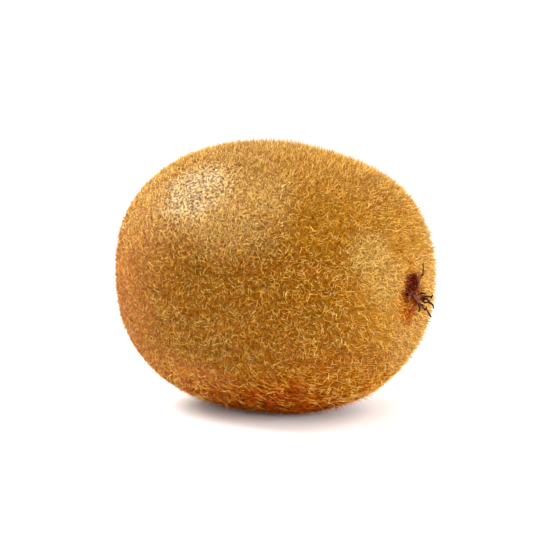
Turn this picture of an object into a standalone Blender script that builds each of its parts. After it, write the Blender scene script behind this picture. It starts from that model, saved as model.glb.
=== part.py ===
"""A whole kiwi fruit lying on its side, in metres, +Z up.

The long axis runs along X, with the blossom end and its dried styles at +X and the
stalk's scar at -X. The fruit rests on a small flat spot, and the origin is the middle of
the foot of its bounding box.
"""

import bisect
import math
import random

import bmesh
import bpy
from mathutils import Vector

MM = 0.001

# The bare skin, without its hair
LENGTH = 61.6 * MM
WIDTH = 54.2 * MM
HEIGHT = 52.4 * MM
ROUNDNESS = 2.42  # exponent of the outline: 2 is an ellipse, more is blunter
ROUNDNESS_ROUND = 2.07  # the same for the cross-section
WIDEST_AT = -0.017  # of half the length, towards the stalk
BELLY = 0.025  # how much deeper the lower half is than the upper
STEM_LEAN = -0.032  # slope of the stalk's end, which isn't quite square to the axis
# Where the fruit is a little flatter: which way each place faces, and how deep it is
FLATS = (
    ((0.37, 0.38, 0.85), 0.97 * MM),
    ((-0.85, -0.52, 0.0), 0.55 * MM),
)
FLAT_SPREAD = 0.05
FLAT_SPOT_DEPTH = 0.4 * MM

# Hollow at each end: where the styles stand, and where the stalk was
BLOSSOM_HOLLOW_RADIUS = 3.6 * MM
BLOSSOM_HOLLOW_DEPTH = 1.5 * MM
STEM_HOLLOW_RADIUS = 5.6 * MM
STEM_HOLLOW_DEPTH = 1.7 * MM
HOLLOW_FLOOR = 0.62  # share of a hollow's radius that is its flat floor
RIM_HEIGHT = 0.35 * MM
RIM_WIDTH = 1.5 * MM

# The coat of short hair, as low relief
SKIN_POINTS = 4200
CROWDING = 5.0  # extra points in the hollows, as a share of the even spread
CROWDED_RADIUS = 5.0 * MM
NAP_HEIGHT = 0.8 * MM
NAP_COMB = 0.5 * MM  # how far a tuft's tip leans, along the skin
NAP_CLEAR_OF_SPOT = 5.5 * MM
NAP_FULL_FROM_SPOT = 9.0 * MM
SPOT_SHAPE = 0.6  # the resting spot's width as a share of its length

# Dried styles
GAP = 0.3 * MM  # between a piece and the fruit that it grows on
STYLE_RADIUS = 0.36 * MM
STYLE_TIP_RADIUS = 0.3 * MM
STYLE_POINTS = 8
STYLE_PAD_RADIUS = 1.9 * MM
STYLE_PAD_THICKNESS = 0.7 * MM
# Where each style's tip is: degrees round the axis, mm from it, and mm beyond the fruit's end
STYLE_TIPS = (
    (74, 4.8, 2.0),
    (-54, 1.0, 3.0),
    (-27, 3.4, 3.5),
    (-40, 2.6, 2.3),
    (-57, 4.4, 2.1),
    (-82, 4.8, 1.8),
    (-126, 5.0, 1.6),
    (-50, 5.4, 3.6),
    (-62, 6.7, 2.9),
    (-35, 4.8, 2.5),
    (118, 2.3, 1.8),
    (205, 2.2, 1.6),
)

# Stalk scar with its sepals
SCAR_RADIUS = 2.7 * MM
SCAR_THICKNESS = 1.2 * MM
SCAR_PIT_RADIUS = 1.0 * MM
SCAR_PIT_DEPTH = 0.35 * MM
SEPAL_COUNT = 5
SEPAL_LENGTH = 3.2 * MM
SEPAL_WIDTH = 2.2 * MM
SEPAL_THICKNESS = 0.7 * MM
SEPAL_SEED = 5

GOLDEN_ANGLE = math.pi * (3 - math.sqrt(5))
PROFILE_STEPS = 800


def clear_scene():
    for obj in list(bpy.data.objects):
        bpy.data.objects.remove(obj, do_unlink=True)


def new_collection(name):
    collection = bpy.data.collections.new(name)
    bpy.context.scene.collection.children.link(collection)
    return collection


def new_material(name, colour, roughness):
    material = bpy.data.materials.new(name)
    material.use_nodes = True
    shader = material.node_tree.nodes["Principled BSDF"]
    shader.inputs["Base Color"].default_value = (*colour, 1.0)
    shader.inputs["Roughness"].default_value = roughness
    shader.inputs["Metallic"].default_value = 0.0
    return material


def new_object(name, mesh, collection, material=None):
    obj = bpy.data.objects.new(name, mesh)
    collection.objects.link(obj)
    if material:
        mesh.materials.append(material)
    return obj


def smooth_step(value, low, high):
    share = min(max((value - low) / (high - low), 0.0), 1.0)
    return share * share * (3 - 2 * share)


def hollow(radius, reach, depth):
    """How far the skin sinks at this distance from the axis: a bowl inside a soft rim."""
    bowl = depth * (1 - smooth_step(radius, HOLLOW_FLOOR * reach, reach))
    rim = RIM_HEIGHT * math.exp(-(((radius - reach - RIM_WIDTH) / RIM_WIDTH) ** 2))
    return bowl - rim


def blunted(share):
    return math.copysign(abs(share) ** (2 / ROUNDNESS_ROUND), share)


def flattening(point):
    """How far the flatter places pull this point in."""
    pull = Vector((0, 0, 0))
    for facing, depth in FLATS:
        towards = Vector(facing).normalized()
        away = 1 - point.normalized().dot(towards)
        pull += towards * depth * math.exp(-away / FLAT_SPREAD)
    return pull


def skin_point(from_pole, round_angle):
    """The skin at this angle from the +X pole and this angle round the X axis."""
    along = math.cos(from_pole)
    across = abs(math.sin(from_pole))
    blossom = along > 0
    power = 2 / ROUNDNESS
    middle = WIDEST_AT * LENGTH / 2
    half = LENGTH / 2 - middle if blossom else LENGTH / 2 + middle
    x = middle + math.copysign(abs(along) ** power, along) * half
    swell = across**power
    y = WIDTH / 2 * swell * blunted(math.cos(round_angle))
    z = HEIGHT / 2 * swell * blunted(math.sin(round_angle))
    z *= 1 - BELLY if z > 0 else 1 + BELLY
    if blossom:
        x -= hollow(math.hypot(y, z), BLOSSOM_HOLLOW_RADIUS, BLOSSOM_HOLLOW_DEPTH)
    else:
        x += STEM_LEAN * z * (2 * x / LENGTH) ** 2
        x += hollow(math.hypot(y, z), STEM_HOLLOW_RADIUS, STEM_HOLLOW_DEPTH)
    point = Vector((x, y, z))
    return point - flattening(point)


def spiral(count):
    """The two angles of points spread evenly over the skin, and more closely in the hollows."""
    poles = [math.pi * i / PROFILE_STEPS for i in range(PROFILE_STEPS + 1)]
    covered = [0.0]
    for here, there in zip(poles, poles[1:]):
        near = skin_point(here, 0.0)
        far = skin_point(there, 0.0)
        radius = (near.y + far.y) / 2
        crowd = 1 + CROWDING * math.exp(-((radius / CROWDED_RADIUS) ** 2))
        covered.append(covered[-1] + crowd * radius * (far - near).length)
    for i in range(count):
        wanted = (i + 0.5) / count * covered[-1]
        step = bisect.bisect_left(covered, wanted)
        share = (wanted - covered[step - 1]) / (covered[step] - covered[step - 1])
        yield poles[step - 1] + share * (poles[step] - poles[step - 1]), i * GOLDEN_ANGLE


def nap_share(point, lowest):
    """How tall the nap stands: none in the hollows or on the resting spot."""
    radius = math.hypot(point.y, point.z)
    reach = BLOSSOM_HOLLOW_RADIUS if point.x > 0 else STEM_HOLLOW_RADIUS
    share = smooth_step(radius, reach, reach + RIM_WIDTH)
    if point.z < 0:
        from_spot = math.hypot(SPOT_SHAPE * (point.x - lowest.x), point.y - lowest.y)
        share *= smooth_step(from_spot, NAP_CLEAR_OF_SPOT, NAP_FULL_FROM_SPOT)
    return share


def raise_nap(mesh_data, rng):
    """Lifts each point of the skin by its own height and combs it towards the blossom end."""
    mesh_data.normal_update()
    lowest = min((v.co for v in mesh_data.verts), key=lambda co: co.z).copy()
    moves = []
    for vert in mesh_data.verts:
        normal = vert.normal.copy()
        height = rng.random() ** 1.5 * nap_share(vert.co, lowest)
        lean = Vector((1, rng.uniform(-1, 1), rng.uniform(-1, 1)))
        lean -= lean.dot(normal) * normal
        moves.append(normal * NAP_HEIGHT * height + lean * NAP_COMB * height)
    for vert, move in zip(mesh_data.verts, moves):
        vert.co += move


def build_fruit(collection, material):
    mesh_data = bmesh.new()
    # The hull of points on a unit sphere joins each to its neighbours.
    for from_pole, angle in spiral(SKIN_POINTS):
        across = math.sin(from_pole)
        across_y = across * math.cos(angle)
        mesh_data.verts.new((math.cos(from_pole), across_y, across * math.sin(angle)))
    bmesh.ops.convex_hull(mesh_data, input=mesh_data.verts)
    for vert in mesh_data.verts:
        across = math.hypot(vert.co.y, vert.co.z)
        from_pole = math.atan2(across, vert.co.x)
        vert.co = skin_point(from_pole, math.atan2(vert.co.z, vert.co.y))
    bmesh.ops.recalc_face_normals(mesh_data, faces=mesh_data.faces)
    raise_nap(mesh_data, random.Random(3))
    floor = min(vert.co.z for vert in mesh_data.verts) + FLAT_SPOT_DEPTH
    cut = bmesh.ops.bisect_plane(
        mesh_data,
        geom=mesh_data.verts[:] + mesh_data.edges[:] + mesh_data.faces[:],
        plane_co=(0, 0, floor),
        plane_no=(0, 0, -1),
        clear_outer=True,
    )
    rim = [edge for edge in cut["geom_cut"] if isinstance(edge, bmesh.types.BMEdge)]
    bmesh.ops.edgeloop_fill(mesh_data, edges=rim)
    bmesh.ops.recalc_face_normals(mesh_data, faces=mesh_data.faces)
    mesh = bpy.data.meshes.new("fruit")
    mesh_data.to_mesh(mesh)
    mesh_data.free()
    mesh.shade_smooth()
    return new_object("fruit", mesh, collection, material)


def turned(name, profile, collection, steps=28):
    """A solid of revolution about X. profile is (distance along X, radius), from -X to +X."""
    mesh_data = bmesh.new()
    verts = [mesh_data.verts.new((x, radius, 0)) for x, radius in profile]
    edges = [mesh_data.edges.new(pair) for pair in zip(verts, verts[1:])]
    bmesh.ops.spin(
        mesh_data,
        geom=verts + edges,
        cent=(0, 0, 0),
        axis=(1, 0, 0),
        angle=2 * math.pi,
        steps=steps,
        use_merge=True,
    )
    bmesh.ops.remove_doubles(mesh_data, verts=mesh_data.verts, dist=0.005 * MM)
    bmesh.ops.recalc_face_normals(mesh_data, faces=mesh_data.faces)
    mesh = bpy.data.meshes.new(name)
    mesh_data.to_mesh(mesh)
    mesh_data.free()
    return new_object(name, mesh, collection)


def tube(name, points, radii, collection):
    """A closed tube through the points, with its own radius at each."""
    curve = bpy.data.curves.new(name, "CURVE")
    curve.dimensions = "3D"
    curve.bevel_depth = 1.0
    curve.bevel_resolution = 1
    curve.use_fill_caps = True
    spline = curve.splines.new("POLY")
    spline.points.add(len(points) - 1)
    for spline_point, point, radius in zip(spline.points, points, radii):
        spline_point.co = (*point, 1.0)
        spline_point.radius = radius
    guide = bpy.data.objects.new(name, curve)
    collection.objects.link(guide)
    bpy.context.view_layer.update()
    evaluated = guide.evaluated_get(bpy.context.evaluated_depsgraph_get())
    mesh = bpy.data.meshes.new_from_object(evaluated)
    mesh_data = bmesh.new()
    mesh_data.from_mesh(mesh)
    bmesh.ops.remove_doubles(mesh_data, verts=mesh_data.verts, dist=0.005 * MM)
    mesh_data.to_mesh(mesh)
    mesh_data.free()
    bpy.data.objects.remove(guide, do_unlink=True)
    return new_object(name, mesh, collection)


def fuse(base, repeats):
    """Joins every solid of the collection to base in one Boolean union, applied."""
    union = base.modifiers.new("Union", "BOOLEAN")
    union.operation = "UNION"
    union.operand_type = "COLLECTION"
    union.collection = repeats
    union.solver = "EXACT"
    bpy.context.view_layer.update()
    evaluated = base.evaluated_get(bpy.context.evaluated_depsgraph_get())
    fused = bpy.data.meshes.new_from_object(evaluated)
    base.modifiers.remove(union)
    base.data = fused
    for obj in list(repeats.objects):
        bpy.data.objects.remove(obj, do_unlink=True)
    bpy.data.collections.remove(repeats)


def style_path(foot, end, degrees, reach, height):
    """A dried style's centre line: straight out of the hollow, then bent over to its tip."""
    angle = math.radians(degrees)
    outward = Vector((0, math.cos(angle), math.sin(angle)))
    near = min(0.25 * reach * MM, STYLE_PAD_RADIUS - 1.5 * STYLE_RADIUS)
    root = Vector((foot, 0, 0)) + outward * near
    elbow = Vector((end + 0.8 * height * MM, 0, 0)) + outward * near * 1.3
    tip = Vector((end + height * MM, 0, 0)) + outward * reach * MM
    points = []
    for i in range(STYLE_POINTS):
        done = i / (STYLE_POINTS - 1)
        first = root.lerp(elbow, done)
        points.append(first.lerp(elbow.lerp(tip, done), done))
    return points


def build_styles(collection, material):
    end = LENGTH / 2
    under = skin_point(0.0, 0.0).x + GAP
    top = under + STYLE_PAD_THICKNESS
    bevel = 0.2 * MM
    profile = [
        (under, 0),
        (under, STYLE_PAD_RADIUS - bevel),
        (under + bevel, STYLE_PAD_RADIUS),
        (top - bevel, STYLE_PAD_RADIUS),
        (top, STYLE_PAD_RADIUS - bevel),
        (top, 0),
    ]
    pad = turned("dried_styles", profile, collection)
    repeats = new_collection("style repeats")
    radii = [
        STYLE_RADIUS + (STYLE_TIP_RADIUS - STYLE_RADIUS) * i / (STYLE_POINTS - 1)
        for i in range(STYLE_POINTS)
    ]
    for number, tip in enumerate(STYLE_TIPS):
        points = style_path(under + STYLE_PAD_THICKNESS / 2, end, *tip)
        tube(f"style_{number}", points, radii, repeats)
    fuse(pad, repeats)
    pad.data.materials.append(material)
    pad.data.shade_smooth()
    pad.data.set_sharp_from_angle(angle=math.radians(50))
    return pad


def sepal(name, angle, length, foot, collection):
    """A dried sepal: a tapered tongue bent outwards over the hollow's edge."""
    mesh_data = bmesh.new()
    loops = 5
    outward = Vector((0, math.cos(angle), math.sin(angle)))
    aside = Vector((0, -math.sin(angle), math.cos(angle)))
    back = Vector((-1, 0, 0))
    rings = []
    for i in range(loops + 1):
        done = i / loops
        lean = math.radians(50 + 35 * done)
        if i == 0:
            middle = foot + outward * (SCAR_RADIUS - 0.7 * MM)
        else:
            heading = back * math.cos(lean) + outward * math.sin(lean)
            middle = middle + heading * length / loops
        normal = back * math.sin(lean) - outward * math.cos(lean)
        width = SEPAL_WIDTH * (1 - 0.65 * done**2) / 2
        thick = SEPAL_THICKNESS / 2
        rings.append(
            [
                mesh_data.verts.new(middle + aside * side * width + normal * face * thick)
                for side, face in ((-1, -1), (1, -1), (1, 1), (-1, 1))
            ]
        )
    for near, far in zip(rings, rings[1:]):
        for i in range(4):
            j = (i + 1) % 4
            mesh_data.faces.new((near[i], near[j], far[j], far[i]))
    mesh_data.faces.new(rings[0])
    mesh_data.faces.new(rings[-1])
    bmesh.ops.recalc_face_normals(mesh_data, faces=mesh_data.faces)
    mesh = bpy.data.meshes.new(name)
    mesh_data.to_mesh(mesh)
    mesh_data.free()
    return new_object(name, mesh, collection)


def build_calyx(collection, material):
    rng = random.Random(SEPAL_SEED)
    under = skin_point(math.pi, 0.0).x - GAP
    top = under - SCAR_THICKNESS
    bevel = 0.3 * MM
    profile = [
        (top + SCAR_PIT_DEPTH, 0),
        (top + SCAR_PIT_DEPTH * 0.6, SCAR_PIT_RADIUS * 0.7),
        (top, SCAR_PIT_RADIUS),
        (top, SCAR_RADIUS - bevel),
        (top + bevel, SCAR_RADIUS),
        (under - bevel, SCAR_RADIUS),
        (under, SCAR_RADIUS - bevel),
        (under, 0),
    ]
    scar = turned("calyx", profile, collection)
    repeats = new_collection("sepal repeats")
    foot = Vector((under - SEPAL_THICKNESS, 0, 0))
    for number in range(SEPAL_COUNT):
        angle = 2 * math.pi * number / SEPAL_COUNT + rng.uniform(-0.12, 0.12)
        length = SEPAL_LENGTH * rng.uniform(0.8, 1.05)
        sepal(f"sepal_{number}", angle, length, foot, repeats)
    fuse(scar, repeats)
    scar.data.materials.append(material)
    scar.data.shade_smooth()
    scar.data.set_sharp_from_angle(angle=math.radians(40))
    return scar


def stand_at_origin(objects):
    """Moves the object so that the middle of its box's foot is the origin."""
    points = [vert.co for obj in objects for vert in obj.data.vertices]
    low = [min(point[i] for point in points) for i in range(3)]
    high = [max(point[i] for point in points) for i in range(3)]
    foot = Vector(((low[0] + high[0]) / 2, (low[1] + high[1]) / 2, low[2]))
    for obj in objects:
        obj.location = -foot


def main():
    clear_scene()
    kiwi = new_collection("kiwi fruit")
    skin = new_material("hairy skin", (0.40, 0.21, 0.06), 0.75)
    dark = new_material("dried styles", (0.035, 0.012, 0.008), 0.6)
    corky = new_material("dried calyx", (0.17, 0.09, 0.045), 0.85)
    fruit = build_fruit(kiwi, skin)
    styles = build_styles(kiwi, dark)
    calyx = build_calyx(kiwi, corky)
    stand_at_origin([fruit, styles, calyx])


main()
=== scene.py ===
"""The looks of a kiwi fruit: hairy skin, dried styles and stalk scar, on a pale floor."""

import math
import random

import bmesh
import bpy
import numpy as np
from mathutils import Matrix, Vector


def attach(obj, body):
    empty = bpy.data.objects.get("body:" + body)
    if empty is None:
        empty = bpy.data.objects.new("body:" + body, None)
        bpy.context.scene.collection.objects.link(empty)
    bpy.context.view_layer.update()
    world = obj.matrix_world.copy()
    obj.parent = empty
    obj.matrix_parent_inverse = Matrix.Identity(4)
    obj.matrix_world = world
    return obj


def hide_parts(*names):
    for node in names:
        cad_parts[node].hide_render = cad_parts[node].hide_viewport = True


MM = 0.001

# The bare skin, with the sizes that the solids are made from
CENTRE = np.array((-1.60, 0.07, 26.45)) * MM
LENGTH = 61.6 * MM
WIDTH = 54.2 * MM
HEIGHT = 52.4 * MM
ROUNDNESS = 2.42  # exponent of the outline: 2 is an ellipse, more is blunter
ROUNDNESS_ROUND = 2.07  # the same for the cross-section
WIDEST_AT = -0.017  # of half the length, towards the stalk
BELLY = 0.025  # how much deeper the lower half is than the upper
STEM_LEAN = -0.032  # slope of the stalk's end, which isn't quite square to the axis
# Where the fruit is a little flatter: which way each place faces, and how deep it is
FLATS = (
    ((0.37, 0.38, 0.85), 0.97 * MM),
    ((-0.85, -0.52, 0.0), 0.55 * MM),
)
FLAT_SPREAD = 0.05

# Hollow at each end: where the styles stand, and where the stalk was
BLOSSOM_HOLLOW_RADIUS = 3.6 * MM
BLOSSOM_HOLLOW_DEPTH = 1.5 * MM
STEM_HOLLOW_RADIUS = 5.6 * MM
STEM_HOLLOW_DEPTH = 1.7 * MM
HOLLOW_FLOOR = 0.62  # share of a hollow's radius that is its flat floor
RIM_HEIGHT = 0.35 * MM
RIM_WIDTH = 1.5 * MM
BLOSSOM_END = CENTRE[0] + LENGTH / 2

# The skin's mesh
SKIN_SIDES = 150
SKIN_RINGS = 100
POLE_CROWDING = 0.8  # how much closer the rings are in the hollows

# Round places on the skin: which way each lies from the middle, how far from there it is
# full, and where it ends, both as one minus the cosine of the angle
SPOTS = {
    "crest": ((0.66, 0.36, 0.66), 0.05, 0.4),
    "golden": ((0.67, -0.45, 0.59), 0.0, 0.12),
    # A broad place on the upper left, round the highlight, painted paler as lit by the key
    # light
    "dome": ((-0.4, -0.5, 0.76), 0.02, 0.3),
    # A band below and right of the highlight, painted paler as sheen where the light reflects
    "painted_sheen": ((0.16, -0.76, 0.63), 0.0, 0.13),
    # The worn place on the upper left is partly real wear, with short, sparse hairs and
    # glossier skin, and partly a painted highlight: it lies where the key light reflects, and
    # its skin is painted pale
    "worn_and_highlight": ((-0.19, -0.71, 0.67), 0.0, 0.078),
    # Two small spots on the right, painted paler as the reflection of a lamp
    "upper_painted_reflection": ((0.91, -0.34, 0.22), 0.0, 0.022),
    "lower_painted_reflection": ((0.965, -0.25, 0.06), 0.0, 0.022),
    # A place on the right below the middle, painted paler as extra light on that side
    "far": ((0.93, 0.25, -0.22), 0.01, 0.13),
    # A place low on the front left, painted paler as light from below
    "low_left": ((-0.15, -0.68, -0.72), 0.0, 0.08),
}
# Round places at the blossom end: their middle to the side of the axis and above it, their
# width as a share of their height, and where they are full and end, from their middle in mm
POLE_SPOTS = {
    "halo": (-0.4, -1.9, 0.8, 3.2, 7.0),
    # The blossom hollow, painted nearly black red as the shade in it
    "hollow": (2.3, 0.2, 0.58, 2.0, 3.2),
}
SCAR_REACH = (4.0 * MM, 7.0 * MM)  # how far from the axis the stalk's place is full, and ends
# Where the skin starts to face up or down enough for each of these, and where it fully does
TOP_LIMITS = (0.7, 0.98)
DOWN_LIMITS = {
    "swept": (0.35, 0.65),
    "under": (0.5, 0.84),
    # the lowest band of the underside, painted dark as shade
    "keel": (0.8, 0.96),
    "low_right": (0.15, 0.5),
}
# Where each starts and is full along the fruit, as shares of half its length
BLOSSOM_LIMITS = (0.8, 0.99)
STEM_LIMITS = (0.05, 0.65)  # towards the stalk, the others towards the blossom end
LOW_RIGHT_LIMITS = (0.2, 0.6)
UNDER_STARTS = (-0.65, 0.05)
UNDER_ENDS = (0.45, 0.75)

# Skin colours of each region, dark and light, as sRGB, later ones over earlier
SKIN_COLOURS = {
    "golden": ((120, 70, 0), (168, 108, 4)),
    "blossom": ((138, 86, 0), (176, 118, 22)),
    "stem": ((130, 76, 20), (178, 114, 58)),
    # Paler skin where the fruit faces up, painted light from above
    "top": ((140, 88, 4), (180, 122, 36)),
    # Paler skin round the highlight, painted light
    "dome": ((128, 84, 34), (184, 138, 84)),
    # Paler skin of the painted sheen
    "painted_sheen": ((136, 94, 38), (198, 154, 98)),
    # Worn skin painted pale as the key light's highlight, with dark specks
    "worn_and_highlight": ((84, 56, 18), (200, 168, 118)),
    # Paler skin painting the lamp's reflection on the right
    "painted_reflection": ((132, 96, 26), (172, 136, 76)),
    # Paler skin low on the front left, painted light from below
    "low_left": ((150, 82, 22), (196, 124, 60)),
    "low_right": ((112, 56, 0), (150, 84, 2)),
    # The underside is painted redder and darker: partly the skin's own red, partly painted
    # shade
    "under": ((100, 28, 0), (156, 62, 2)),
    # Dark skin along the bottom edge, painted shade
    "keel": ((66, 14, 0), (112, 34, 0)),
    # Paler skin on the lower right, painted light
    "far": ((146, 98, 38), (184, 134, 78)),
    "scar": ((110, 66, 24), (156, 100, 48)),
    "halo": ((92, 32, 0), (160, 76, 4)),
    # Nearly black red skin in the blossom hollow, painted shade
    "hollow": ((34, 2, 2), (108, 26, 12)),
}
SKIN_GLOSS = (0.01, 0.12)  # specular level under the hair, and where that is worn

# Hair
HAIR_COUNT = 98000
HAIR_POINTS = 3  # the last is the tip
HAIR_RADIUS = 0.055 * MM
HAIR_SINK = 0.12 * MM
HAIR_CLEAR_OF_FLOOR = 0.12 * MM
HAIR_ROUGHNESS = 0.7
HAIR_SEED = 7
HAIR_TAPER = 0.5  # thickness next to the tip, as a share of that at the root
ON_FLOOR = 0.02 * MM  # skin lower than this is the flat spot, and has no hair
BARE_FROM = {"hollow": 0.75, "scar": 0.95}  # no hair where the region's share is more
TUFT_WAVES = 14
GOLDEN_ANGLE = math.pi * (3 - math.sqrt(5))
ROOT_JITTER = 0.02  # radians round the axis
PROFILE_STEPS = 2001

# Hair tones as sRGB, and how long, raised and thick hairs of each are, as shares of the rest
TONES = {
    "cream": ((255, 218, 128), 1.15, 1.2, 1.35),
    "straw": ((246, 192, 82), 1.15, 1.15, 1.3),
    "gold": ((212, 152, 40), 1.0, 1.0, 1.0),
    "ochre": ((160, 100, 6), 0.9, 0.85, 0.9),
    "copper": ((206, 138, 88), 1.05, 1.05, 1.1),
    "auburn": ((212, 100, 16), 1.05, 0.95, 1.1),
    "rust": ((118, 56, 0), 0.85, 0.8, 1.0),
    "umber": ((66, 28, 0), 0.8, 0.75, 1.0),
}
STRAIGHT_TONES = ("ochre", "rust", "umber")  # these lie deep in the coat, and don't bend
# Each tone's weight, in that order, for each region of the fruit, later ones over earlier
TONE_WEIGHTS = {
    "flank": (0.1, 0.19, 0.19, 0.19, 0.04, 0.03, 0.16, 0.1),
    "golden": (0.03, 0.18, 0.36, 0.2, 0.0, 0.0, 0.14, 0.09),
    "blossom": (0.09, 0.21, 0.24, 0.2, 0.02, 0.02, 0.14, 0.08),
    "stem": (0.04, 0.05, 0.05, 0.14, 0.36, 0.08, 0.16, 0.12),
    # More cream hair where the fruit faces up, painted light from above
    "top": (0.23, 0.16, 0.14, 0.14, 0.1, 0.0, 0.13, 0.1),
    # Paler hair on the upper right shoulder, painted light to make up for the shade of its
    # longer hair
    "crest": (0.1, 0.3, 0.2, 0.16, 0.02, 0.0, 0.12, 0.1),
    # More cream hair round the highlight, painted light
    "dome": (0.33, 0.13, 0.05, 0.07, 0.18, 0.0, 0.14, 0.1),
    # More cream hair, painting the sheen paler
    "painted_sheen": (0.42, 0.22, 0.05, 0.05, 0.06, 0.0, 0.11, 0.09),
    "worn_and_highlight": (0.2, 0.04, 0.04, 0.1, 0.07, 0.0, 0.25, 0.3),
    # Cream-heavy hair painting the lamp's reflection on the right
    "painted_reflection": (0.32, 0.2, 0.08, 0.1, 0.06, 0.0, 0.14, 0.1),
    # Paler, copper-heavy hair low on the front left, painted light from below
    "low_left": (0.12, 0.12, 0.1, 0.11, 0.28, 0.06, 0.12, 0.09),
    "low_right": (0.06, 0.18, 0.2, 0.18, 0.03, 0.12, 0.14, 0.09),
    # Red and dark hair underneath: partly its own colour, partly painted shade
    "under": (0.0, 0.06, 0.06, 0.07, 0.02, 0.36, 0.22, 0.21),
    # Darkest hair along the bottom edge, painted shade
    "keel": (0.0, 0.0, 0.03, 0.05, 0.02, 0.25, 0.3, 0.35),
    # More cream hair on the lower right, painted light
    "far": (0.25, 0.24, 0.13, 0.1, 0.1, 0.0, 0.1, 0.08),
    "halo": (0.0, 0.08, 0.16, 0.16, 0.04, 0.18, 0.22, 0.16),
    # Dark hair in the blossom hollow, painted shade
    "hollow": (0.0, 0.0, 0.04, 0.1, 0.04, 0.26, 0.32, 0.24),
}
# Length in mm and lift in degrees of the hair in each region, again later over earlier
HAIR_SHAPES = {
    "flank": (1.15, 34),
    "blossom": (1.2, 42),
    "stem": (1.0, 24),
    "top": (1.15, 40),
    "crest": (1.15, 44),
    "worn_and_highlight": (0.8, 12),
    "under": (1.5, 12),
    "halo": (0.8, 30),
}
STRAYS = 0.1  # how many of the hairs swept along the underside stick out
STRAY_LIFT = 50

# How single hairs vary, as shares of length, thickness and lift
LENGTH_RANGE = (0.7, 1.25)
LENGTH_IN_TUFTS = 0.1
LENGTH_IN_SWEPT_TUFTS = 0.2
THICKNESS_RANGE = (0.7, 1.15)
THICKER_UNDER = 0.35
THICKER_WORN_AND_HIGHLIGHT = 0.45
DROOP_RANGE = (0.05, 0.4)
SWEPT_CALM = 0.6  # how much less unruly the swept hairs are
# In degrees of lift
LIFT_SPREAD = 9
LIFT_IN_TUFTS = 6
LIFT_LIMITS = (6, 80)
# In radians of heading
HEADING_SPREAD = 1.6
HEADING_IN_TUFTS = 0.8
ROUND_SPREAD = 0.6  # of the hairs that lie round the fruit
SWEPT_SPREAD = 0.24
CURL_SPREAD = 0.4
# How large the tufts are that vary together
LENGTH_TUFT = 2.2 * MM
LIFT_TUFT = 3.0 * MM
HEADING_TUFT = 4.0 * MM
# How many hairs lie round the fruit at its ends, and along it below, as shares
ROUND_AT_STEM = 0.8
ROUND_AT_BLOSSOM = 0.35
ALONG_WHERE_SWEPT = 0.9
SWEPT_BACKWARDS = 0.15

# Fine straight hairs that stand out all over and soften the outline
FRINGE_COUNT = 46000
FRINGE_COLOUR = (165, 124, 68)
FRINGE_RADIUS = 0.038 * MM
FRINGE_LENGTHS = (0.9 * MM, 3.1 * MM)
FRINGE_LIFT = 74  # degrees, as the next two
FRINGE_LIFT_SPREAD = 14
FRINGE_LIFT_LIMITS = (20, 85)
FRINGE_FEWER_AT_STEM = 0.55
FRINGE_SHORTER_AT_STEM = 0.3
FRINGE_KEEPS_OFF = ("hollow", "halo", "scar", "worn_and_highlight")
FRINGE_SEED = 9

# Dried styles: degrees round the axis, mm from it, and mm beyond the fruit's end
STYLE_TIPS = (
    (74, 4.8, 2.0),
    (-54, 1.0, 3.0),
    (-27, 3.4, 3.5),
    (-40, 2.6, 2.3),
    (-57, 4.4, 2.1),
    (-82, 4.8, 1.8),
    (-126, 5.0, 1.6),
    (-50, 5.4, 3.6),
    (-62, 6.7, 2.9),
    (-35, 4.8, 2.5),
    (118, 2.3, 1.8),
    (205, 2.2, 1.6),
)
STYLE_RADIUS = 0.24 * MM
STYLE_TAPER = 0.3
STYLE_SHRIVEL = 0.25  # how much the thickness varies along a style
STYLE_SHRIVEL_WAVES = (6, 14)  # radians of that from end to end
STYLE_SPREAD_AT_ROOT = 0.25  # how far apart the roots are, as a share of the tips
STYLE_ELBOW_SPREAD = 1.3  # the same at the bend, as a share of the roots
STYLE_ELBOW_HEIGHT = 0.8  # how high the bend is, as a share of the tip
STYLE_FLATNESS = 0.7
STYLE_BROAD_SIDE = (0.31, 0.93, 0.2)
STYLE_SIDES = 8
STYLE_POINTS = 16
STYLE_KINKS = 6
STYLE_KINK_SIZE = 0.38 * MM
STYLE_TIP_KINK = 0.4  # a kink at the tip, as a share of the others
STYLE_PAD_RADIUS = 1.9 * MM
STYLE_CLEAR_OF_PAD_EDGE = 1.5 * STYLE_RADIUS
STYLE_FOOT_HEIGHT = 0.6 * MM  # above the hollow's floor
STYLE_DARKENS = (0.8 * MM, 1.9 * MM)  # where, beyond the fruit's end
ANY_PHASE = (0, 6)  # radians, of the styles' waves and the sepals'
STYLE_SEED = 4
STYLES_ASIDE = 1.9 * MM  # where they grow, from the middle of the hollow
STYLES_LOW = 1.3 * MM

# Stalk scar and sepals, with the sizes of their solid
GAP = 0.3 * MM  # between them and the skin
SCAR_THICKNESS = 1.2 * MM
SCAR_RADIUS = 2.7 * MM
# The scar's section in mm, from its pit outwards: how deep below its rim, and how far out
SCAR_PROFILE = (
    (0.35, 0.03),
    (0.34, 0.4),
    (0.2, 0.7),
    (0.0, 0.95),
    (-0.04, 1.15),
    (0.02, 1.45),
    (-0.02, 1.8),
    (0.02, 2.15),
    (0.06, 2.45),
    (0.3, 2.7),
    (0.9, 2.7),
    (1.2, 2.4),
    (1.2, 0.03),
)
SCAR_SIDES = 72
SCAR_RELIEF = 0.07 * MM
SCAR_LUMP = 0.9 * MM
PIT_REACH = (0.5 * MM, 1.1 * MM)  # how far out the pit's dark is full, and ends
SEPAL_COUNT = 5
SEPAL_TURN = 0.12  # radians at most from their even places round the scar
SEPAL_LENGTH = 3.2 * MM
SEPAL_LENGTH_RANGE = (0.8, 1.05)
SEPAL_WIDTH = 2.2 * MM
SEPAL_FLATNESS = 0.16
SEPAL_NARROWING = 0.65
SEPAL_RAGGEDNESS = 0.12
SEPAL_TIP = 0.5  # the last width as a share of what it would be
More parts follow.
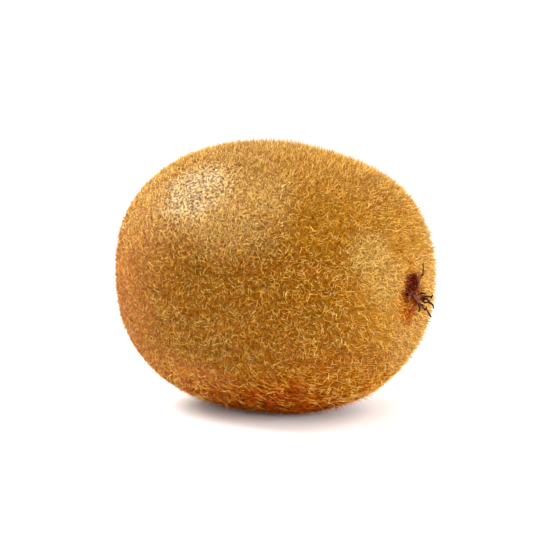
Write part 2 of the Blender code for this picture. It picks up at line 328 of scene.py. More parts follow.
SEPAL_LEAN = 50  # degrees outwards at the foot
SEPAL_BEND = 35  # more degrees at the tip
SEPAL_SIDESTEP = 0.5 * MM
SEPAL_WAVE = 0.25 * MM
SEPAL_WAVES = 4  # radians of that from foot to tip
SEPAL_POINTS = 14
SEPAL_SIDES = 16
SEPAL_FOOT_DEPTH = 0.7 * MM
SEPAL_SEED = 5
CALYX_SEED = 6

# Camera, as fitted to the photograph's outline
CAMERA_AZIMUTH = 32.27
CAMERA_ELEVATION = 8.66
CAMERA_ROLL = 0.42
CAMERA_DISTANCE = 469.7 * MM
CAMERA_LENS = 154.63
CAMERA_RIGHT = 0.81 * MM
CAMERA_DOWN = 0.57 * MM
CAMERA_NEAREST = 10 * MM

# Floor and light, in metres, watts and degrees
FLOOR_REACH = 30.0
WORLD_FRONT = 1.7
WORLD_SIDES = 1.55
WORLD_OVERHEAD = 0.7  # as a share of the strength lower down
WORLD_FACING = (0.74, -0.66, 0.15)  # which way the front is
WORLD_TURN = (0.8, -0.1)  # cosines from there at which the front ends and the sides begin
WORLD_RISE = (0.3, 0.9)  # sines of the heights at which that starts, and is full
SUN_STRENGTH = 4.35
SUN_ANGLE = 44
SUN_FROM = (-0.6, -0.08, 0.8)
FILL_PLACE = (0.42, 0.1, 0.08)
FILL_SIZE = 0.22
FILL_WATTS = 1.8
BACK_PLACE = (0.28, 0.3, 0.36)
BACK_SIZE = 0.25
BACK_WATTS = 0.8


def linear(rgb):
    """An sRGB colour of 0 to 255 as the linear one that shaders take."""
    shares = [value / 255 for value in rgb]
    return tuple(
        share / 12.92 if share <= 0.04045 else ((share + 0.055) / 1.055) ** 2.4
        for share in shares
    )


def smooth_step(value, low, high):
    """From 0 at low to 1 at high, with a soft start and end."""
    share = np.clip((value - low) / (high - low), 0.0, 1.0)
    return share * share * (3 - 2 * share)


def unit(vectors):
    return vectors / np.linalg.norm(vectors, axis=-1, keepdims=True)


def blunted(share):
    """A sine or cosine of the angle round the axis, made to give a blunter cross-section."""
    return np.sign(share) * np.abs(share) ** (2 / ROUNDNESS_ROUND)


def hollow(radius, reach, depth):
    """How far in the skin is at this distance from the axis, with the rim round the hollow."""
    bowl = depth * (1 - smooth_step(radius, HOLLOW_FLOOR * reach, reach))
    rim = RIM_HEIGHT * np.exp(-(((radius - reach - RIM_WIDTH) / RIM_WIDTH) ** 2))
    return bowl - rim


def flattening(places):
    """How far the flatter places pull these points in."""
    pull = np.zeros_like(places)
    headings = unit(places)
    for facing, depth in FLATS:
        towards = unit(np.array(facing))
        away = 1 - headings @ towards
        pull += towards * (depth * np.exp(-away / FLAT_SPREAD))[..., None]
    return pull


def skin_points(from_pole, round_angle):
    """The skin at these angles from the +X pole and round the X axis, in the row frame."""
    along = np.cos(from_pole)
    blossom = along > 0
    power = 2 / ROUNDNESS
    middle = WIDEST_AT * LENGTH / 2
    half = np.where(blossom, LENGTH / 2 - middle, LENGTH / 2 + middle)
    x = middle + np.sign(along) * np.abs(along) ** power * half
    swell = np.abs(np.sin(from_pole)) ** power
    y = WIDTH / 2 * swell * blunted(np.cos(round_angle))
    z = HEIGHT / 2 * swell * blunted(np.sin(round_angle))
    z = z * np.where(z > 0, 1 - BELLY, 1 + BELLY)
    radius = np.hypot(y, z)
    lean = STEM_LEAN * z * (2 * x / LENGTH) ** 2
    dip_blossom = hollow(radius, BLOSSOM_HOLLOW_RADIUS, BLOSSOM_HOLLOW_DEPTH)
    dip_stem = hollow(radius, STEM_HOLLOW_RADIUS, STEM_HOLLOW_DEPTH)
    x = np.where(blossom, x - dip_blossom, x + lean + dip_stem)
    places = np.stack([x, y, z], axis=-1)
    points = places - flattening(places) + CENTRE
    points[..., 2] = np.maximum(points[..., 2], 0.0)
    return points


def skin_normals(from_pole, round_angle):
    """Which way the skin faces at these angles, outwards."""
    step = 1e-3
    along = skin_points(from_pole + step, round_angle) - skin_points(
        from_pole - step, round_angle
    )
    across = skin_points(from_pole, round_angle + step) - skin_points(
        from_pole, round_angle - step
    )
    normals = unit(np.cross(along, across) + 1e-15)
    outward = skin_points(from_pole, round_angle) - CENTRE
    return normals * np.sign((normals * outward).sum(axis=-1, keepdims=True))


def region_shares(points, normals):
    """How far each point belongs to each region, from 0 to 1. The rest is flank."""
    places = points - CENTRE
    headings = unit(places)
    along = places[:, 0] / (LENGTH / 2)
    from_axis = np.hypot(places[:, 1], places[:, 2])
    at_blossom = along > 0
    upwards = normals[:, 2]
    under = smooth_step(along, *UNDER_STARTS) * (1 - smooth_step(along, *UNDER_ENDS))

    def near(spot, inner, outer):
        return 1 - smooth_step(1 - headings @ unit(np.array(spot)), inner, outer)

    def round_pole(aside, high, narrowness, inner, outer):
        across = (places[:, 1] - aside * MM) / narrowness
        away = np.hypot(across, places[:, 2] - high * MM)
        return at_blossom * (1 - smooth_step(away, inner * MM, outer * MM))

    shares = {name: near(*spot) for name, spot in SPOTS.items()}
    shares["painted_reflection"] = np.maximum(shares["upper_painted_reflection"], shares["lower_painted_reflection"])
    for name, spot in POLE_SPOTS.items():
        shares[name] = round_pole(*spot)
    shares["scar"] = ~at_blossom * (1 - smooth_step(from_axis, *SCAR_REACH))
    shares["blossom"] = smooth_step(along, *BLOSSOM_LIMITS)
    shares["stem"] = smooth_step(-along, *STEM_LIMITS)
    shares["top"] = smooth_step(upwards, *TOP_LIMITS)
    for name, limits in DOWN_LIMITS.items():
        shares[name] = smooth_step(-upwards, *limits)
    shares["under"] *= under
    shares["keel"] *= under
    shares["low_right"] *= smooth_step(along, *LOW_RIGHT_LIMITS)
    return shares


def by_region(values, regions):
    """Each point's own value, blended from those of the regions that it belongs to."""
    blended = np.array(values["flank"], float) * np.ones((len(regions["stem"]), 1))
    for name, value in values.items():
        if name != "flank":
            share = regions[name][:, None]
            blended = blended * (1 - share) + np.array(value, float) * share
    return blended


def shown(name, mesh, material):
    """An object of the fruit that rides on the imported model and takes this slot's finish."""
    obj = bpy.data.objects.new(name, mesh)
    bpy.context.scene.collection.objects.link(obj)
    mesh.materials.append(material)
    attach(obj, "root")
    return obj


def new_material(name, rgb, roughness):
    """A material of one colour, and its shader, for more to be set or linked."""
    material = bpy.data.materials.new(name)
    material.use_nodes = True
    shader = material.node_tree.nodes["Principled BSDF"]
    shader.inputs["Base Color"].default_value = (*linear(rgb), 1.0)
    shader.inputs["Roughness"].default_value = roughness
    return material, shader


def noise(tree, place, scale, detail=4.0, roughness=0.55):
    """The value of a noise with about this many blobs to the metre."""
    node = tree.nodes.new("ShaderNodeTexNoise")
    node.inputs["Scale"].default_value = scale
    node.inputs["Detail"].default_value = detail
    node.inputs["Roughness"].default_value = roughness
    tree.links.new(place, node.inputs["Vector"])
    return node.outputs["Fac"]


def stretch(tree, value, low, high, to_low=0.0, to_high=1.0):
    """Maps low..high to to_low..to_high, smoothly, and clamps."""
    node = tree.nodes.new("ShaderNodeMapRange")
    node.interpolation_type = "SMOOTHSTEP"
    node.inputs["From Min"].default_value = low
    node.inputs["From Max"].default_value = high
    node.inputs["To Min"].default_value = to_low
    node.inputs["To Max"].default_value = to_high
    tree.links.new(value, node.inputs["Value"])
    return node.outputs["Result"]


def mixed(tree, factor, first, second):
    """A colour between two, each an sRGB triple or another node's output."""
    node = tree.nodes.new("ShaderNodeMix")
    node.data_type = "RGBA"
    tree.links.new(factor, node.inputs["Factor"])
    for socket, colour in ((node.inputs[6], first), (node.inputs[7], second)):
        if isinstance(colour, tuple):
            socket.default_value = (*linear(colour), 1.0)
        else:
            tree.links.new(colour, socket)
    return node.outputs[2]


def product(tree, first, second):
    node = tree.nodes.new("ShaderNodeMath")
    node.operation = "MULTIPLY"
    tree.links.new(first, node.inputs[0])
    tree.links.new(second, node.inputs[1])
    return node.outputs[0]


def attribute(tree, name):
    node = tree.nodes.new("ShaderNodeAttribute")
    node.attribute_name = name
    return node.outputs["Fac"]


def skin_material():
    """Grained and specked, with each region's colours over those of the flank. Several regions
    are painted light and shade: a highlight, a sheen and lamp reflections, paler lit places,
    and a darker underside, bottom edge and blossom hollow.
    """
    material, shader = new_material("kiwi skin", (126, 80, 8), 0.52)
    tree = material.node_tree
    place = tree.nodes.new("ShaderNodeTexCoord").outputs["Object"]
    gloss = stretch(tree, attribute(tree, "worn_and_highlight"), 0.0, 1.0, *SKIN_GLOSS)
    tree.links.new(gloss, shader.inputs["Specular IOR Level"])
    blotch = stretch(tree, noise(tree, place, 220), 0.38, 0.66)
    dark = mixed(tree, blotch, (110, 58, 0), (98, 60, 0))
    light = mixed(tree, blotch, (150, 88, 4), (140, 88, 4))
    for name, (low, high) in SKIN_COLOURS.items():
        share = attribute(tree, name)
        dark = mixed(tree, share, dark, low)
        light = mixed(tree, share, light, high)
    grain = stretch(tree, noise(tree, place, 2000, detail=6, roughness=0.65), 0.4, 0.62)
    colour = mixed(tree, grain, dark, light)
    speck = stretch(tree, noise(tree, place, 2900, detail=2), 0.59, 0.67)
    colour = mixed(tree, speck, colour, (74, 38, 8))
    tree.links.new(colour, shader.inputs["Base Color"])
    bump = tree.nodes.new("ShaderNodeBump")
    bump.inputs["Strength"].default_value = 0.5
    bump.inputs["Distance"].default_value = 0.15 * MM
    tree.links.new(noise(tree, place, 2200, detail=5), bump.inputs["Height"])
    tree.links.new(bump.outputs["Normal"], shader.inputs["Normal"])
    return material


def build_skin():
    """The bare skin, which knows at each vertex how far that belongs to each region."""
    mesh = bpy.data.meshes.new("skin")
    sphere = bmesh.new()
    bmesh.ops.create_uvsphere(
        sphere, u_segments=SKIN_SIDES, v_segments=SKIN_RINGS, radius=1.0
    )
    sphere.to_mesh(mesh)
    sphere.free()
    places = np.empty(3 * len(mesh.vertices))
    mesh.vertices.foreach_get("co", places)
    places = places.reshape(-1, 3)
    even = np.arccos(np.clip(places[:, 2], -1, 1)) / math.pi
    crowded = even - POLE_CROWDING * np.sin(2 * math.pi * even) / (2 * math.pi)
    round_angle = np.arctan2(places[:, 1], places[:, 0])
    points = skin_points(math.pi * crowded, round_angle)
    mesh.vertices.foreach_set("co", points.ravel())
    mesh.shade_smooth()
    regions = region_shares(points, skin_normals(math.pi * crowded, round_angle))
    for name in SKIN_COLOURS:
        layer = mesh.attributes.new(name, "FLOAT", "POINT")
        layer.data.foreach_set("value", regions[name].astype(np.float32))
    skin = shown("skin", mesh, skin_material())
    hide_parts("fruit")


def hair_roots(count, rng):
    """Angles of the hairs' roots, spread evenly by area."""
    poles = np.linspace(0, math.pi, PROFILE_STEPS)
    profile = skin_points(poles, np.zeros(PROFILE_STEPS)) - CENTRE
    steps = np.linalg.norm(np.diff(profile, axis=0), axis=1)
    radii = (profile[1:, 1] + profile[:-1, 1]) / 2
    covered = np.concatenate([[0], np.cumsum(steps * radii)])
    wanted = (np.arange(count) + rng.random(count)) / count
    from_pole = np.interp(wanted * covered[-1], covered, poles)
    round_angle = np.arange(count) * GOLDEN_ANGLE + rng.normal(0, ROOT_JITTER, count)
    return from_pole, round_angle


def planted(count, rng):
    """Roots for this many hairs, with the skin's normals and regions there."""
    from_pole, round_angle = hair_roots(count, rng)
    roots = skin_points(from_pole, round_angle)
    normals = skin_normals(from_pole, round_angle)
    return roots, normals, region_shares(roots, normals)


def tufts(places, size, rng):
    """A random value at each place, about -2 to 2, that changes smoothly over this length."""
    total = np.zeros(len(places))
    for _ in range(TUFT_WAVES):
        wave = rng.normal(0, 1, 3) * math.pi / size
        total += np.sin(places @ wave + rng.uniform(0, 2 * math.pi))
    return total / math.sqrt(TUFT_WAVES / 2)


def hair_shapes(roots, regions, tones, rng):
    """Each hair's length, its lift at the root, and how far it droops at each point."""
    count = len(roots)
    shape = by_region(HAIR_SHAPES, regions)
    scales = np.array([scale for _, *scale in TONES.values()])[tones]
    length = shape[:, 0] * MM * scales[:, 0] * rng.uniform(*LENGTH_RANGE, count)
    uneven = LENGTH_IN_TUFTS + LENGTH_IN_SWEPT_TUFTS * regions["swept"]
    length *= 1 + uneven * tufts(roots, LENGTH_TUFT, rng)
    stray = rng.random(count) < STRAYS * regions["swept"]
    lift = np.where(stray, STRAY_LIFT, shape[:, 1] * scales[:, 1])
    unruly = LIFT_SPREAD * rng.normal(0, 1, count)
    unruly += LIFT_IN_TUFTS * tufts(roots, LIFT_TUFT, rng)
    lift = np.radians(lift + unruly * (1 - SWEPT_CALM * regions["swept"]))
    lift = np.clip(lift, *np.radians(LIFT_LIMITS))
    droop = lift * rng.uniform(*DROOP_RANGE, count)
    return length, lift, droop


def hair_headings(roots, regions, rng):
    """Which way each hair lies on the skin: its angle from the way to the blossom end.

    Most point any way. Near the ends they lie round the fruit, and below along it.
    """
    count = len(roots)
    heading = rng.normal(0, HEADING_SPREAD, count)
    heading += HEADING_IN_TUFTS * tufts(roots, HEADING_TUFT, rng)
    turned = rng.choice((-1, 1), count) * (math.pi / 2)
    turned += rng.normal(0, ROUND_SPREAD, count)
    at_blossom = ROUND_AT_BLOSSOM * regions["blossom"]
    lying_round = np.maximum(ROUND_AT_STEM * regions["stem"], at_blossom)
    heading = np.where(rng.random(count) < lying_round, turned, heading)
    chances = (1 - SWEPT_BACKWARDS, SWEPT_BACKWARDS)
    swept = rng.choice((0, math.pi), count, p=chances)
    swept += rng.normal(0, SWEPT_SPREAD, count)
    lying_along = ALONG_WHERE_SWEPT * regions["swept"]
    return np.where(rng.random(count) < lying_along, swept, heading)


def hair_lines(roots, normals, regions, tones, rng):
    """The centre line of each hair, as (hairs, points, 3)."""
    length, lift, droop = hair_shapes(roots, regions, tones, rng)
    heading = hair_headings(roots, regions, rng)
    curl = rng.normal(0, CURL_SPREAD, len(roots))
    flow = unit(np.array((1.0, 0.0, 0.0)) - normals * normals[:, :1] + 1e-9)
    side = np.cross(normals, flow)
    points = [roots - normals * HAIR_SINK]
    step = length / (HAIR_POINTS - 1)
    for number in range(HAIR_POINTS - 1):
        turn = heading + curl * number
        rise = lift - droop * number
        flat = np.cos(turn)[:, None] * flow + np.sin(turn)[:, None] * side
        aim = np.cos(rise)[:, None] * flat + np.sin(rise)[:, None] * normals
        reach = step if number else step + HAIR_SINK
        points.append(points[-1] + aim * reach[:, None])
    lines = np.stack(points, axis=1)
    lines[..., 2] = np.maximum(lines[..., 2], HAIR_CLEAR_OF_FLOOR)
    return lines


def hair_mesh(name, lines, normals, radii):
    """One mesh of closed three-sided hairs, each tapering to a point."""
    count, points, _ = lines.shape
    rings = points - 1
    tangents = unit(np.gradient(lines, axis=1)[:, :rings] + 1e-12)
    sides = unit(np.cross(tangents, normals[:, None]) + 1e-12)
    others = np.cross(sides, tangents)
    taper = np.linspace(1.0, HAIR_TAPER, rings)
    corners = []
    for corner in range(3):
        angle = 2 * math.pi * corner / 3
        offset = math.cos(angle) * sides + math.sin(angle) * others
        corners.append(lines[:, :rings] + offset * radii[:, None, None] * taper[:, None])
    ring_verts = np.stack(corners, axis=2).reshape(count, 3 * rings, 3)
    verts = np.concatenate([ring_verts, lines[:, -1:]], axis=1)

    faces = [(2, 1, 0)]
    for ring in range(rings - 1):
        for corner in range(3):
            near = 3 * ring + corner
            beside = 3 * ring + (corner + 1) % 3
            faces.append((near, beside, beside + 3))
            faces.append((near, beside + 3, near + 3))
    last = 3 * (rings - 1)
    for corner in range(3):
        faces.append((last + corner, last + (corner + 1) % 3, 3 * rings))
    one = np.array(faces)
    all_faces = one[None] + np.arange(count)[:, None, None] * (3 * rings + 1)
    return triangle_mesh(name, verts.reshape(-1, 3), all_faces.reshape(-1, 3))


def triangle_mesh(name, verts, faces):
    mesh = bpy.data.meshes.new(name)
    mesh.vertices.add(len(verts))
    mesh.vertices.foreach_set("co", np.ascontiguousarray(verts, np.float32).ravel())
    mesh.loops.add(faces.size)
    mesh.loops.foreach_set("vertex_index", faces.astype(np.int32).ravel())
    mesh.polygons.add(len(faces))
    starts = np.arange(0, faces.size, 3, dtype=np.int32)
    mesh.polygons.foreach_set("loop_start", starts)
    mesh.update(calc_edges=True)
    mesh.shade_smooth()
    return mesh


def tone_of(regions, rng):
    """Which tone each hair has, by its region and by chance."""
    weights = by_region(TONE_WEIGHTS, regions)
    limits = np.cumsum(weights / weights.sum(axis=1, keepdims=True), axis=1)
    chance = rng.random(len(limits))[:, None]
    return np.minimum((chance > limits).sum(axis=1), len(TONES) - 1)


def show_hair(name, rgb, lines, normals, radii):
    """One piece of dull hair, of one tone."""
    material, shader = new_material(f"{name} hair", rgb, HAIR_ROUGHNESS)
    shader.inputs["Specular IOR Level"].default_value = 0.0
    mesh = hair_mesh(f"hair_{name}", lines, normals, radii)
    shown(f"hair_{name}", mesh, material)


def build_hair():
    """The coat of short hair, one piece for each tone."""
    rng = np.random.default_rng(HAIR_SEED)
    roots, normals, regions = planted(HAIR_COUNT, rng)
    kept = roots[:, 2] >= ON_FLOOR
    for name, most in BARE_FROM.items():
        kept &= regions[name] <= most
    roots = roots[kept]
    normals = normals[kept]
    regions = {name: share[kept] for name, share in regions.items()}
    tones = tone_of(regions, rng)
    lines = hair_lines(roots, normals, regions, tones, rng)
    thickness = np.array([thick for _, _, _, thick in TONES.values()])[tones]
    radii = HAIR_RADIUS * thickness * rng.uniform(*THICKNESS_RANGE, len(roots))
    radii *= 1 + THICKER_UNDER * regions["under"] + THICKER_WORN_AND_HIGHLIGHT * regions["worn_and_highlight"]
    for number, (name, (rgb, _, _, _)) in enumerate(TONES.items()):
        own = tones == number
        own_lines = lines[own][:, [0, -1]] if name in STRAIGHT_TONES else lines[own]
        show_hair(name, rgb, own_lines, normals[own], radii[own])


def build_fringe():
    """Fine hairs that stand out beyond the coat, straight and nearly upright."""
    rng = np.random.default_rng(FRINGE_SEED)
    roots, normals, regions = planted(FRINGE_COUNT, rng)
    wanted = (1 - FRINGE_FEWER_AT_STEM * regions["stem"]) * (1 - regions["swept"])
    for name in FRINGE_KEEPS_OFF:
        wanted *= 1 - regions[name]
    kept = rng.random(FRINGE_COUNT) < wanted
    roots = roots[kept]
    normals = normals[kept]
    count = len(roots)
    shorter = 1 - FRINGE_SHORTER_AT_STEM * regions["stem"][kept]
    length = rng.uniform(*FRINGE_LENGTHS, count) * shorter
    lift = np.clip(rng.normal(FRINGE_LIFT, FRINGE_LIFT_SPREAD, count), *FRINGE_LIFT_LIMITS)
    lift = np.radians(lift)[:, None]
    flat = unit(np.cross(normals, rng.normal(0, 1, (count, 3))))
    aim = np.cos(lift) * flat + np.sin(lift) * normals
    lines = np.stack([roots - normals * HAIR_SINK, roots + aim * length[:, None]], axis=1)
    show_hair("fringe", FRINGE_COLOUR, lines, normals, np.full(count, FRINGE_RADIUS))


def tubes(lines, radii, sides, flatness, across):
    """Vertices and faces of closed tubes through lines of (tubes, points, 3).

    They are flattened by that share, and broad at right angles to the direction across.
    """
    verts = []
    faces = []
    for line, radius in zip(lines, radii):
        start = len(verts)
        tangents = unit(np.gradient(line, axis=0))
        aside = unit(np.cross(tangents, across))
        other = np.cross(aside, tangents)
        for middle, u, v, r in zip(line, aside, other, radius):
            for corner in range(sides):
                angle = 2 * math.pi * corner / sides
                offset = math.cos(angle) * u + flatness * math.sin(angle) * v
                verts.append(tuple(middle + r * offset))
        faces += ring_faces(start, len(line), sides)
    return verts, faces


def ring_faces(start, rings, sides):
    """Faces between rings of vertices, with a face over each end."""
    faces = [tuple(start + corner for corner in reversed(range(sides)))]
    for ring in range(rings - 1):
        for corner in range(sides):
            near = start + ring * sides + corner
            beside = start + ring * sides + (corner + 1) % sides
            faces.append((near, beside, beside + sides, near + sides))
    last = start + (rings - 1) * sides
    faces.append(tuple(last + corner for corner in range(sides)))
    return faces


def surface(name, verts, faces):
    mesh = bpy.data.meshes.new(name)
    mesh.from_pydata(verts, [], faces)
    mesh.shade_smooth()
    return mesh


def style_material():
    """Tan at the foot, and nearly black towards the tip."""
    material, shader = new_material("dried style", (52, 20, 14), 0.7)
    shader.inputs["Specular IOR Level"].default_value = 0.1
    tree = material.node_tree
    place = tree.nodes.new("ShaderNodeTexCoord").outputs["Object"]
    split = tree.nodes.new("ShaderNodeSeparateXYZ")
    tree.links.new(place, split.inputs[0])
    patch = stretch(tree, noise(tree, place, 500), 0.42, 0.6)
    tip = mixed(tree, patch, (34, 8, 8), (72, 26, 14))
    low, high = (BLOSSOM_END + beyond for beyond in STYLE_DARKENS)
    out = stretch(tree, split.outputs["X"], low, high)
    foot = mixed(tree, patch, (108, 52, 28), (178, 116, 72))
    tree.links.new(mixed(tree, out, foot, tip), shader.inputs["Base Color"])
    return material


def style_line(degrees, reach, height, rng):
    """The centre line of one style, which bends outwards from its root, with kinks."""
    angle = math.radians(degrees)
    axis = np.array((1.0, 0.0, 0.0))
    outward = np.array((0.0, math.cos(angle), math.sin(angle)))
    spread = STYLE_SPREAD_AT_ROOT * reach * MM
    near = min(spread, STYLE_PAD_RADIUS - STYLE_CLEAR_OF_PAD_EDGE)
    middle = np.array((0.0, CENTRE[1] + STYLES_ASIDE, CENTRE[2] - STYLES_LOW))
    foot = BLOSSOM_END - BLOSSOM_HOLLOW_DEPTH + STYLE_FOOT_HEIGHT
    root = middle + axis * foot + outward * near
    elbow_height = BLOSSOM_END + STYLE_ELBOW_HEIGHT * height * MM
    elbow = middle + axis * elbow_height + outward * near * STYLE_ELBOW_SPREAD
    tip = np.array((0.0, CENTRE[1], CENTRE[2])) + axis * (BLOSSOM_END + height * MM)
    tip += outward * reach * MM
    done = np.linspace(0, 1, STYLE_POINTS)[:, None]
    line = (1 - done) ** 2 * root + 2 * done * (1 - done) * elbow + done**2 * tip
    kinks = rng.normal(0, STYLE_KINK_SIZE, (STYLE_KINKS, 3))
    kinks[0] = 0
    kinks[-1] *= STYLE_TIP_KINK
    kink_places = np.linspace(0, 1, STYLE_KINKS)
    for i in range(3):
        line[:, i] += np.interp(done[:, 0], kink_places, kinks[:, i])
    return line


def build_styles():
    """The flower's dried styles, in the hollow at the blossom end."""
    rng = np.random.default_rng(STYLE_SEED)
    done = np.linspace(0, 1, STYLE_POINTS)
    lines = []
    radii = []
    for degrees, reach, height in STYLE_TIPS:
        lines.append(style_line(degrees, reach, height, rng))
        waves = rng.uniform(*STYLE_SHRIVEL_WAVES)
        shrivel = 1 + STYLE_SHRIVEL * np.sin(done * waves + rng.uniform(*ANY_PHASE))
        radii.append(STYLE_RADIUS * (1 - STYLE_TAPER * done) * shrivel)
    verts, faces = tubes(lines, radii, STYLE_SIDES, STYLE_FLATNESS, STYLE_BROAD_SIDE)
    mesh = surface("styles", verts, faces)
    styles = shown("styles", mesh, style_material())
    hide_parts("dried_styles")


def calyx_material():
    """Corky, grey brown, with dark cracks, and darkest in the pit."""
    material, shader = new_material("dried calyx", (110, 78, 50), 0.88)
    shader.inputs["Specular IOR Level"].default_value = 0.15
    tree = material.node_tree
    place = tree.nodes.new("ShaderNodeTexCoord").outputs["Object"]
    patch = stretch(tree, noise(tree, place, 700, detail=6), 0.36, 0.64)
    colour = mixed(tree, patch, (92, 58, 34), (158, 116, 76))
    crack = stretch(tree, noise(tree, place, 2600, detail=3), 0.56, 0.66)
    colour = mixed(tree, crack, colour, (54, 32, 20))
    colour = mixed(tree, attribute(tree, "pit"), colour, (44, 26, 18))
    tree.links.new(colour, shader.inputs["Base Color"])
    bump = tree.nodes.new("ShaderNodeBump")
    bump.inputs["Strength"].default_value = 0.7
    bump.inputs["Distance"].default_value = 0.1 * MM
    tree.links.new(noise(tree, place, 3000, detail=5), bump.inputs["Height"])
    tree.links.new(bump.outputs["Normal"], shader.inputs["Normal"])
    return material


def sepal_lines(foot, rng):
    """Centre lines and half widths of the sepals, bent outwards over the hollow's edge."""
    turns = random.Random(SEPAL_SEED)
    done = np.linspace(0, 1, SEPAL_POINTS)
    lean = np.radians(SEPAL_LEAN + SEPAL_BEND * done)[:, None]
    lines = []
    radii = []
    for number in range(SEPAL_COUNT):
        angle = 2 * math.pi * number / SEPAL_COUNT + turns.uniform(-SEPAL_TURN, SEPAL_TURN)
        length = SEPAL_LENGTH * turns.uniform(*SEPAL_LENGTH_RANGE)
        outward = np.array((0.0, math.cos(angle), math.sin(angle)))
        aside = np.array((0.0, -math.sin(angle), math.cos(angle)))
        heading = np.cos(lean) * np.array((-1.0, 0.0, 0.0)) + np.sin(lean) * outward
        heading[0] = 0
        curve = np.cumsum(heading, axis=0) * length / (SEPAL_POINTS - 1)
        curve += aside * (done * rng.uniform(-SEPAL_SIDESTEP, SEPAL_SIDESTEP))[:, None]
        waves = np.sin(SEPAL_WAVES * done + rng.uniform(*ANY_PHASE))
        curve[:, 0] -= SEPAL_WAVE * done**2 * waves
        lines.append(foot + outward * (SCAR_RADIUS - SEPAL_FOOT_DEPTH) + curve)
        ragged = 1 + SEPAL_RAGGEDNESS * rng.normal(0, 1, SEPAL_POINTS)
        radii.append(SEPAL_WIDTH / 2 * (1 - SEPAL_NARROWING * done**2) * ragged)
        radii[-1][-1] *= SEPAL_TIP
    return lines, radii


def build_calyx():
    """The stalk's corky scar, with the dried sepals round it."""
    rng = np.random.default_rng(CALYX_SEED)
    under = skin_points(np.array(math.pi), np.array(0.0))[0] - GAP
    foot = np.array((under - SEPAL_FOOT_DEPTH, CENTRE[1], CENTRE[2]))
    lines, radii = sepal_lines(foot, rng)
    verts, faces = tubes(lines, radii, SEPAL_SIDES, SEPAL_FLATNESS, (-1.0, 0.0, 0.0))
    sepal_verts = len(verts)
    depth, radius = (np.array(column)[:, None] * MM for column in zip(*SCAR_PROFILE))
    turn = np.linspace(0, 2 * math.pi, SCAR_SIDES, endpoint=False)
    scar = np.stack(
        [
            under - SCAR_THICKNESS + depth + 0 * turn,
            CENTRE[1] + radius * np.cos(turn),
            CENTRE[2] + radius * np.sin(turn),
        ],
        axis=-1,
    ).reshape(-1, 3)
    facing_out = scar[:, 0] < under - 0.5 * SCAR_THICKNESS
    scar[:, 0] -= SCAR_RELIEF * facing_out * tufts(scar, SCAR_LUMP, rng)
    faces += ring_faces(sepal_verts, len(SCAR_PROFILE), SCAR_SIDES)
    mesh = surface("calyx", verts + [tuple(place) for place in scar], faces)
    from_axis = np.hypot(scar[:, 1] - CENTRE[1], scar[:, 2] - CENTRE[2])
    pit = np.zeros(len(verts) + len(scar), np.float32)
    pit[sepal_verts:] = 1 - smooth_step(from_axis, *PIT_REACH)
    mesh.attributes.new("pit", "FLOAT", "POINT").data.foreach_set("value", pit)
    calyx = shown("calyx", mesh, calyx_material())
    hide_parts("calyx")


def area_light(name, place, size, watts):
    """A square lamp that faces the fruit."""
    data = bpy.data.lights.new(name, "AREA")
    data.size = size
    data.energy = watts
    light = bpy.data.objects.new(name, data)
    light.location = place
    aim = Vector(CENTRE) - light.location
    light.rotation_euler = aim.to_track_quat("-Z", "Y").to_euler()
    bpy.context.scene.collection.objects.link(light)


def towards_camera():
    """Which way the camera is, seen from the fruit."""
    azimuth = math.radians(CAMERA_AZIMUTH)
    elevation = math.radians(CAMERA_ELEVATION)
    return Vector(
        (
            math.sin(azimuth) * math.cos(elevation),
            -math.cos(azimuth) * math.cos(elevation),
            math.sin(elevation),
        )
    )


def build_world():
    """A white tent: a little brighter in front than elsewhere, and dimmest overhead."""
    world = bpy.data.worlds.new("studio")
    world.use_nodes = True
    tree = world.node_tree
    heading = tree.nodes.new("ShaderNodeTexCoord").outputs["Generated"]
    facing = tree.nodes.new("ShaderNodeVectorMath")
    facing.operation = "DOT_PRODUCT"
    facing.inputs[1].default_value = Vector(WORLD_FACING).normalized()
    tree.links.new(heading, facing.inputs[0])
    split = tree.nodes.new("ShaderNodeSeparateXYZ")
    tree.links.new(heading, split.inputs[0])
    turned = facing.outputs["Value"]
    around = stretch(tree, turned, *WORLD_TURN, WORLD_FRONT, WORLD_SIDES)
    above = stretch(tree, split.outputs["Z"], *WORLD_RISE, 1.0, WORLD_OVERHEAD)
    background = tree.nodes["Background"]
    tree.links.new(product(tree, around, above), background.inputs["Strength"])
    background.inputs["Color"].default_value = (1.0, 1.0, 1.0, 1.0)
    bpy.context.scene.world = world


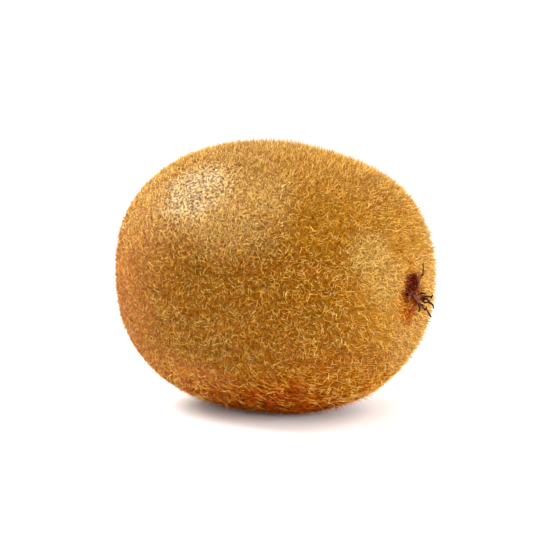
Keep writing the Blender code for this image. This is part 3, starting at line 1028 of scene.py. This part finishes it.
def build_studio():
    """A pale floor, the tent, one soft sun and two soft lamps."""
    bpy.context.scene.view_settings.view_transform = "Standard"
    build_world()
    mesh = bpy.data.meshes.new("floor")
    ground = bmesh.new()
    bmesh.ops.create_grid(ground, x_segments=1, y_segments=1, size=FLOOR_REACH)
    ground.to_mesh(mesh)
    ground.free()
    material, _ = new_material("floor", (248, 248, 248), 0.9)
    mesh.materials.append(material)
    floor = bpy.data.objects.new("floor", mesh)
    bpy.context.scene.collection.objects.link(floor)
    sun = bpy.data.lights.new("key", "SUN")
    sun.energy = SUN_STRENGTH
    sun.angle = math.radians(SUN_ANGLE)
    key = bpy.data.objects.new("key", sun)
    key.rotation_euler = Vector(SUN_FROM).to_track_quat("Z", "Y").to_euler()
    bpy.context.scene.collection.objects.link(key)
    area_light("fill", FILL_PLACE, FILL_SIZE, FILL_WATTS)
    area_light("back", BACK_PLACE, BACK_SIZE, BACK_WATTS)


def build_camera():
    azimuth = math.radians(CAMERA_AZIMUTH)
    roll = math.radians(CAMERA_ROLL)
    back = towards_camera()
    level = Vector((math.cos(azimuth), math.sin(azimuth), 0.0))
    upright = back.cross(level)
    right = level * math.cos(roll) + upright * math.sin(roll)
    up = upright * math.cos(roll) - level * math.sin(roll)
    data = bpy.data.cameras.new("camera")
    data.lens = CAMERA_LENS
    data.clip_start = CAMERA_NEAREST
    camera = bpy.data.objects.new("camera", data)
    place = Vector(CENTRE) + back * CAMERA_DISTANCE + right * CAMERA_RIGHT - up * CAMERA_DOWN
    turn = Matrix((right, up, back)).transposed().to_4x4()
    camera.matrix_world = Matrix.Translation(place) @ turn
    bpy.context.scene.collection.objects.link(camera)
    bpy.context.scene.camera = camera


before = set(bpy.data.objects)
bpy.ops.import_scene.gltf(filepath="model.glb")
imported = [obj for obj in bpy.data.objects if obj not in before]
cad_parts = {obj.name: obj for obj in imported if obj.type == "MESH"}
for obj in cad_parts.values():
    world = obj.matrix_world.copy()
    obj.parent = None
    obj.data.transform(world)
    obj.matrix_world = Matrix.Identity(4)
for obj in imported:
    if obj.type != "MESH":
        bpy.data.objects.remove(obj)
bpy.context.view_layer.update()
build_skin()
build_hair()
build_fringe()
build_styles()
build_calyx()
build_studio()
build_camera()
